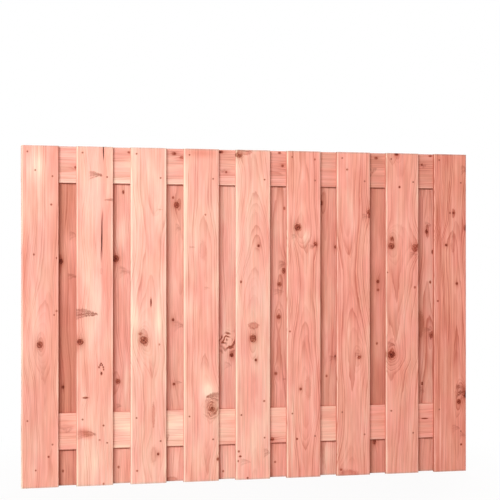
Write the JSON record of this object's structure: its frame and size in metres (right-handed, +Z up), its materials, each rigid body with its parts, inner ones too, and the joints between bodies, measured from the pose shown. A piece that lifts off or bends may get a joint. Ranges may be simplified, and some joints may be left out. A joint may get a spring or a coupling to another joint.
{
  "type": "wooden fence panel",
  "caption": "Garden screen of upright planed boards nailed in front of and behind flat rails, each back board closing the gap between front boards.",
  "frame": {"origin": "at ground level in the middle of the panel, half-way through the rails", "axes": "+X along the panel to the right as seen from the front, +Y from front to back, +Z up"},
  "size_m": [1.8, 0.048, 1.3],
  "materials": {
    "planed_larch": "planed, untreated",
    "nail_steel": "bright wire"
  },
  "bodies": {
    "root": {"front_board_1": "planed_larch", "front_board_2": "planed_larch", "front_board_3": "planed_larch", "front_board_4": "planed_larch", "front_board_5": "planed_larch", "front_board_6": "planed_larch", "front_board_7": "planed_larch", "front_board_8": "planed_larch", "front_board_9": "planed_larch", "back_board_1": "planed_larch", "back_board_2": "planed_larch", "back_board_3": "planed_larch", "back_board_4": "planed_larch", "back_board_5": "planed_larch", "back_board_6": "planed_larch", "back_board_7": "planed_larch", "back_board_8": "planed_larch", "top_rail": "planed_larch", "bottom_rail": "planed_larch", "front_nails_top": "nail_steel", "front_nails_bottom": "nail_steel", "back_nails_top": "nail_steel", "back_nails_bottom": "nail_steel"}
  },
  "joints": []
}
